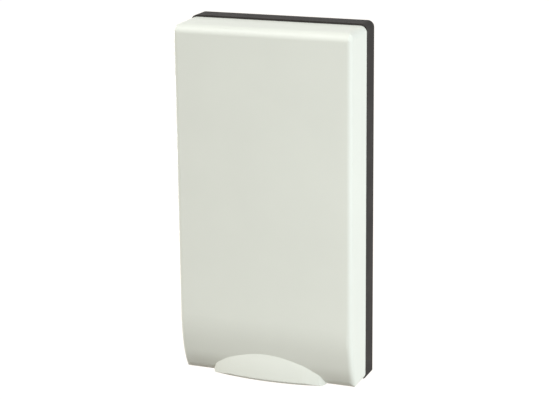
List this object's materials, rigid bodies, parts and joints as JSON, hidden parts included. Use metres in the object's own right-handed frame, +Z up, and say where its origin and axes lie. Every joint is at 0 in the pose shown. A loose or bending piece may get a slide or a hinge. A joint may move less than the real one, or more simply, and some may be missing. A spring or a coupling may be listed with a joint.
{
  "type": "wall cowl with pull-off cover",
  "caption": "Slim upright wall cowl: a smooth white pull-off cover with a finger lip hooks over a dark frame that carries a louvred exhaust panel, a slatted intake and a duct sleeve.",
  "frame": {"origin": "centre of the back face, in the plane of the wall", "axes": "+Z up, +Y into the wall, -Y out of the front, +X to the right as seen from the front"},
  "size_m": [0.14, 0.0515, 0.2764],
  "materials": {
    "cover_plastic": "satin off-white moulding",
    "frame_plastic": "dark grey moulding",
    "grille_plastic": "dark grey moulding",
    "sheet_steel": "stainless sheet",
    "mesh_steel": "woven stainless wire",
    "spring_steel": "spring strip",
    "fastener_steel": "zinc-plated",
    "gasket_rubber": "black foam rubber",
    "seal_silicone": "red silicone",
    "fibre_sheet": "pressed fibre sheet"
  },
  "bodies": {
    "frame": {"wall_frame": "frame_plastic", "wall_gasket": "gasket_rubber", "heat_gasket": "fibre_sheet", "duct_sleeve": "sheet_steel", "sleeve_screws": "fastener_steel", "duct_seal": "seal_silicone", "divider_plate": "sheet_steel", "grille_body": "grille_plastic", "grille_screws": "fastener_steel", "panel_gasket": "fibre_sheet", "exhaust_panel": "sheet_steel", "panel_screws": "fastener_steel", "wind_baffle": "sheet_steel", "baffle_rivets": "fastener_steel", "guard_mesh": "mesh_steel", "mesh_retainer": "grille_plastic", "catch_spring_left": "spring_steel", "catch_spring_right": "spring_steel", "catch_rivets": "fastener_steel"},
    "cover": {"cover_shell": "cover_plastic"}
  },
  "joints": [
    {"name": "cover_tilt", "type": "hinge", "parent": "frame", "child": "cover", "pos_m": [0, -0.017, 0.138], "axis": [-1, 0, 0], "range_deg": [0, 40], "deforming": ["catch_spring_left", "catch_spring_right"]}
  ]
}
